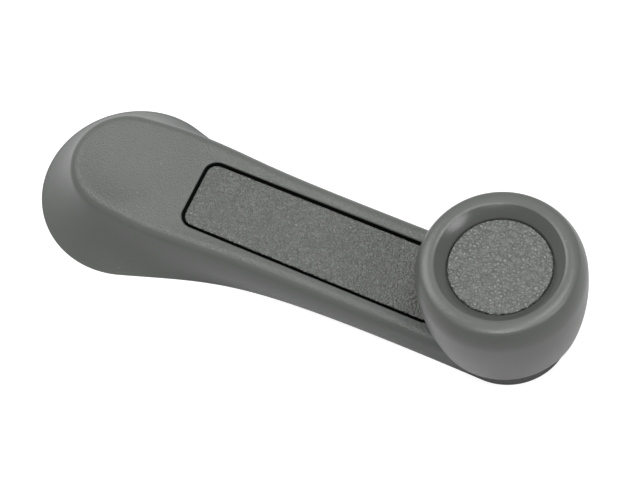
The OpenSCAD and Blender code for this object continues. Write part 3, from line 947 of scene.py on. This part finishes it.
# Knob axle, washer and spacer. A shouldered steel rivet holds the knob; its
# tail is peened over a steel washer under the arm, and a nylon spacer parts
# knob and boss.
nylon_look, tree, surface, place = new_look("natural nylon")
satin = add_node(tree, "Group", {"Place": place, "Grain": 0.0003}, node_tree=satin_grain)
tint = tinted(
    tree, satin.outputs["Tone"], low=(0.66, 0.64, 0.56, 1), high=(0.74, 0.73, 0.67, 1),
)
tree.links.new(tint, surface.inputs["Base Color"])
surface.inputs["Roughness"].default_value = 0.45
surface.inputs["Subsurface Weight"].default_value = 0.1
surface.inputs["Subsurface Scale"].default_value = 0.0005
bump = add_node(tree, "Bump", {"Height": satin.outputs["Height"], "Distance": 0.000004})
tree.links.new(bump.outputs[0], surface.inputs["Normal"])
dress("knob_axle", steel_look, 0.1)
dress("axle_washer", steel_look, 0.08)
dress("knob_spacer", nylon_look, 0.06)

# Knob. A hollow moulding that runs on the axle: a wall that swells to its
# widest place, a crest with a tight shoulder, and a cone that drops to the
# cap. Inside are the bearing tube, the cup for the cap and six ribs.
knob_z = knob_low[2] / MM
crest_r, crest_h = 16.2, 26.4
# radius of each arc down the outside, and its slope in degrees where it ends
arcs = [(4.7, 24), (1.5, 62), (12, 90), (78, 104.2)]
arc_steps = 12
crest_in_roll, crest_in_turn, crest_in_steps = 2.6, 22, 5
recess_r = 12.55
# where the cone turns down to the cap: out from the recess, up from the cap
cone_foot = [(0.3, 0.24), (0.08, 0.02), (0, -0.25)]
cap_top = 24.0
cap_t = 1.6
bearing_r, bearing_bore, bearing_top = 7, 4.06, 16.8
web_z = 14.2
cup_r = 13.45
knob_hollow_top = 22.9
knob_wall = 2.2
knob_foot_t = 0.6
knob_ribs = 6
knob_steps = 192
chamfer = 0.2
skirt_r = 11.3
catch_high, catch_low, catch_d = 20.4, 18.05, 0.35


def crest_arcs():
    """The knob's outside from the crest outwards and down: arcs that meet smoothly."""
    line = [(crest_r, crest_h)]
    start = 0
    for radius, stop in arcs:
        r, h = line[-1]
        a0 = math.radians(start)
        centre = (r - radius * math.sin(a0), h - radius * math.cos(a0))
        for a in np.radians(np.linspace(start, stop, arc_steps + 1))[1:]:
            line.append((centre[0] + radius * math.sin(a), centre[1] + radius * math.cos(a)))
        start = stop
    return line


outer = [p for p in crest_arcs() if p[1] > 0.5]
foot_r = outer[-1][0]
inner = []
for a in np.radians(np.linspace(0, crest_in_turn, crest_in_steps + 1))[1:]:
    drop = crest_in_roll * (1 - math.cos(a))
    inner.append((crest_r - crest_in_roll * math.sin(a), crest_h - drop))
wall_in = [(r - knob_wall, h) for r, h in outer if 1 < h < web_z]
profile = [(foot_r - knob_foot_t, 0), (foot_r - chamfer, chamfer)] + outer[::-1] + inner
profile += [(recess_r + out, cap_top + up) for out, up in cone_foot]
profile += [
    (recess_r, cap_top - cap_t), (skirt_r + fit, cap_top - cap_t),
    (skirt_r + fit, catch_high), (skirt_r + catch_d, catch_high - catch_d),
    (skirt_r + catch_d, catch_low + catch_d), (skirt_r + fit, catch_low),
    (skirt_r + fit, bearing_top),
    (bearing_bore + chamfer, bearing_top), (bearing_bore, bearing_top - chamfer),
    (bearing_bore, chamfer), (bearing_bore + chamfer, 0),
    (bearing_r - chamfer, 0), (bearing_r, chamfer),
    (bearing_r, web_z), (cup_r, web_z), (cup_r, knob_hollow_top), (wall_in[0][0], knob_hollow_top),
]
profile += wall_in + [(foot_r - knob_wall - 0.1, 0.3), (foot_r - knob_wall, 0)]
knob = lathe("knob_shell", [(r, knob_z + z) for r, z in profile], (reach, 0), knob_steps)

root = 0.5
rib_foot = 1.2
rib_line = [
    (bearing_r - root, rib_foot), (wall_in[-1][0] + root, rib_foot), (wall_in[0][0] + root, web_z),
    (wall_in[0][0] + root, knob_hollow_top + root), (cup_r - root, knob_hollow_top + root),
    (cup_r - root, web_z + root), (bearing_r - root, web_z + root),
]
ribs = []
for i in range(knob_ribs):
    turn = math.radians(360 / knob_ribs * (i + 0.5))
    c, s = math.cos(turn), math.sin(turn)
    ribs.append(prism("knob_rib", [
        [(reach + r * c - w * s, r * s + w * c, knob_z + h) for r, h in rib_line]
        for w in (-rib_t / 2, rib_t / 2)
    ]))
combine(knob, ribs, "UNION")
shade(knob, 30)
knob_look = moulding_look(
    "grey knob moulding", low=(0.089, 0.095, 0.089, 1), high=(0.099, 0.105, 0.098, 1),
    roughness=0.33, grain=0.0005, depth=0.00005, side_depth=0.7,
)
# the cone is given a lower roughness, as from a polished part of the mould, and a darker colour,
# which is painted shade
polished_cone_shade_look = moulding_look(
    "polished cone with painted shade", low=(0.053, 0.057, 0.053, 1), high=(0.062, 0.066, 0.061, 1),
    roughness=0.22, grain=0.0005, depth=0.00001, side_depth=1.0,
)
knob.data.materials.append(knob_look)
knob.data.materials.append(polished_cone_shade_look)
middles = np.empty(3 * len(knob.data.polygons))
knob.data.polygons.foreach_get("center", middles)
x, y, z = (middles.reshape(-1, 3) / MM).T
r = np.hypot(x - reach, y)
# faces of the cone, which take the painted shade
on_cone = (z > knob_z + cap_top + 0.1) & (r > recess_r) & (r < inner[-1][0])
knob.data.polygons.foreach_set("material_index", on_cone.astype(int))
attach(knob, "knob")
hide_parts("knob_body")

# Cap. A leather-grained disc with a rounded edge; a skirt below it, slotted in
# four places, snaps into the knob's cup.
cap_r = 12.3
cap_edge = 0.35
skirt_t, skirt_l = 1.2, 4
slot_w, slot_count = 1.6, 4
cap_steps = 128
# the skirt's snap bead: out from the skirt, down from the seat
bead = [(0.25, 3.6), (0.25, 2.7), (0, 2.35)]
edge = [
    (cap_r - cap_edge * (1 - math.cos(a)), cap_top - cap_edge * (1 - math.sin(a)))
    for a in np.radians([0, 30, 60, 90])
]
seat = cap_top - cap_t
profile = [
    (0, seat + fit), (skirt_r - skirt_t, seat + fit),
    (skirt_r - skirt_t, seat - skirt_l + fit), (skirt_r, seat - skirt_l + fit),
]
profile += [(skirt_r + out, seat - down) for out, down in bead]
profile += [(skirt_r, seat + fit), (cap_r, seat + fit)] + edge
profile += [(cap_r - cap_edge - flat_inset, cap_top), (0, cap_top)]
cap = lathe("grained_cap", [(r, knob_z + z) for r, z in profile], (reach, 0), cap_steps)
slots = []
for i in range(slot_count):
    slots.append(block(
        "slot", (skirt_r - 2 * skirt_t, -slot_w / 2, knob_z + seat - skirt_l - 1),
        (skirt_r + skirt_t, slot_w / 2, knob_z + seat),
        math.radians(360 / slot_count * i), (reach, 0),
    ))
combine(cap, slots, "DIFFERENCE")
shade(cap, 30)
cap_look = leather_look(
    "coarse leather grain", skin=(0.186, 0.193, 0.181, 1), painted_crease_shade=(0.108, 0.113, 0.107, 1),
    roughness=0.19, pebble=0.00096, crease_width=0.3, depth=0.00054,
)
cap.data.materials.append(cap_look)
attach(cap, "knob")
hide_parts("knob_cap")
